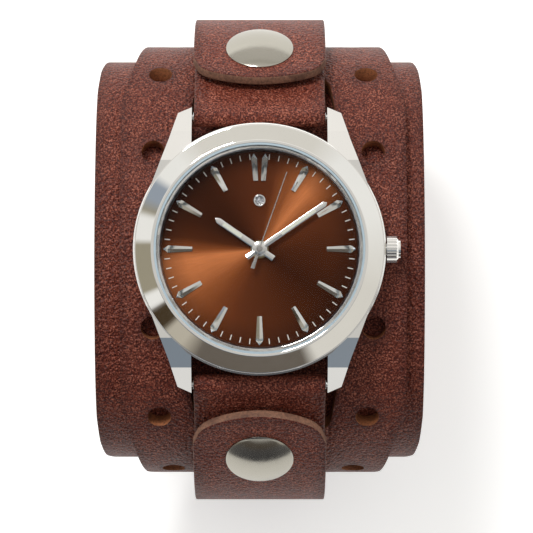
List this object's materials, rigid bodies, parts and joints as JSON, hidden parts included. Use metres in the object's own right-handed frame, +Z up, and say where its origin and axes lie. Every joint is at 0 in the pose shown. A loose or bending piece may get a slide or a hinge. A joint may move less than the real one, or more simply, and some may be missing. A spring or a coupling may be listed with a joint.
{
  "type": "cuff watch",
  "caption": "Round quartz wristwatch on a wide leather cuff with punched holes, closed by two snap flaps, with a fluted crown and a driven hand train.",
  "frame": {"origin": "on the rest plane, straight under the dial's centre, midway across the base band's width and depth", "axes": "+X along the wrist to the crown, +Y towards 12 o'clock, +Z up out of the dial"},
  "size_m": [0.0544, 0.0828, 0.0586],
  "materials": {
    "base_leather": "pebbled reddish-brown leather",
    "overlay_leather": "pebbled reddish-brown leather with pale cut edges",
    "strap_leather": "pebbled reddish-brown leather",
    "polished_steel": "mirror polished",
    "plain_steel": "satin",
    "brass": "satin",
    "copper_wire": "enamelled winding",
    "gasket_rubber": "matte",
    "crystal_glass": "clear",
    "flange_metal": "satin",
    "dial_lacquer": "brown sunray lacquer",
    "stone": "bright cut stone",
    "lume": "pale luminous fill",
    "holder_plastic": "matte",
    "board_plastic": "matte"
  },
  "bodies": {
    "case": {"base_band": "base_leather", "overlay_band": "overlay_leather", "upper_lug_strap": "strap_leather", "lower_lug_strap": "strap_leather", "closure_strap": "strap_leather", "snap_studs": "plain_steel", "snap_posts": "plain_steel", "spring_bars": "plain_steel", "mid_case": "polished_steel", "bezel": "polished_steel", "crystal": "crystal_glass", "crystal_gasket": "gasket_rubber", "rehaut_ring": "flange_metal", "dial": "dial_lacquer", "hour_markers": "polished_steel", "stone_setting": "polished_steel", "stone": "stone", "caseback": "polished_steel", "caseback_gasket": "gasket_rubber", "case_tube": "plain_steel", "movement_holder": "holder_plastic", "main_plate": "brass", "train_bridge": "plain_steel", "bridge_screws": "plain_steel", "battery": "plain_steel", "battery_clamp": "plain_steel", "circuit_board": "board_plastic", "quartz_can": "plain_steel", "coil": "copper_wire", "stator": "plain_steel"},
    "upper_flap": {"upper_flap": "strap_leather", "upper_snap_cap": "polished_steel", "upper_snap_socket": "plain_steel"},
    "lower_flap": {"lower_flap": "strap_leather", "lower_snap_cap": "polished_steel", "lower_snap_socket": "plain_steel"},
    "setting_lever": {"setting_lever": "plain_steel"},
    "crown": {"crown": "polished_steel", "crown_gasket": "gasket_rubber", "stem": "plain_steel"},
    "rotor": {"rotor": "plain_steel"},
    "intermediate_wheel": {"intermediate_wheel": "brass"},
    "second_hand": {"second_wheel": "brass", "second_hand": "polished_steel"},
    "third_wheel": {"third_wheel": "brass"},
    "minute_hand": {"centre_wheel": "brass", "minute_hand": "polished_steel", "minute_lume": "lume"},
    "minute_wheel": {"minute_wheel": "brass"},
    "hour_hand": {"hour_wheel": "brass", "hour_hand": "polished_steel", "hour_lume": "lume"}
  },
  "joints": [
    {"name": "upper_flap_fold", "type": "hinge", "parent": "case", "child": "upper_flap", "pos_m": [0, 0.04095, 0.02976], "axis": [-1, 0, 0], "range_deg": [0, 75]},
    {"name": "lower_flap_fold", "type": "hinge", "parent": "case", "child": "lower_flap", "pos_m": [0, -0.04095, 0.02976], "axis": [1, 0, 0], "range_deg": [0, 75]},
    {"name": "crown_pull", "type": "slide", "parent": "case", "child": "setting_lever", "axis": [1, 0, 0], "range_m": [0, 0.001]},
    {"name": "crown_turn", "type": "hinge", "parent": "setting_lever", "child": "crown", "pos_m": [0.0205, 0, 0.05387], "axis": [1, 0, 0], "continuous": true},
    {"name": "second_turn", "type": "hinge", "parent": "case", "child": "second_hand", "pos_m": [0, 0, 0.05187], "axis": [0, 0, -1], "continuous": true},
    {"name": "minute_turn", "type": "hinge", "parent": "case", "child": "minute_hand", "pos_m": [0, 0, 0.05187], "axis": [0, 0, -1], "continuous": true},
    {"name": "hour_turn", "type": "hinge", "parent": "case", "child": "hour_hand", "pos_m": [0, 0, 0.05377], "axis": [0, 0, -1], "continuous": true},
    {"name": "third_turn", "type": "hinge", "parent": "case", "child": "third_wheel", "pos_m": [0.00306, 0, 0.05187], "axis": [0, 0, -1], "continuous": true},
    {"name": "minute_wheel_turn", "type": "hinge", "parent": "case", "child": "minute_wheel", "pos_m": [-0.003, 0, 0.05377], "axis": [0, 0, -1], "continuous": true},
    {"name": "intermediate_turn", "type": "hinge", "parent": "case", "child": "intermediate_wheel", "pos_m": [-0.003, 0, 0.05187], "axis": [0, 0, -1], "continuous": true},
    {"name": "rotor_turn", "type": "hinge", "parent": "case", "child": "rotor", "pos_m": [-0.00552, 0, 0.05187], "axis": [0, 0, -1], "continuous": true}
  ],
  "couplings": [
    {"joint": "minute_turn", "follows": "second_turn", "ratio": 0.016667},
    {"joint": "hour_turn", "follows": "second_turn", "ratio": 0.0013889},
    {"joint": "third_turn", "follows": "second_turn", "ratio": -0.13333},
    {"joint": "minute_wheel_turn", "follows": "second_turn", "ratio": -0.0055556},
    {"joint": "intermediate_turn", "follows": "second_turn", "ratio": -5},
    {"joint": "rotor_turn", "follows": "second_turn", "ratio": 30}
  ]
}
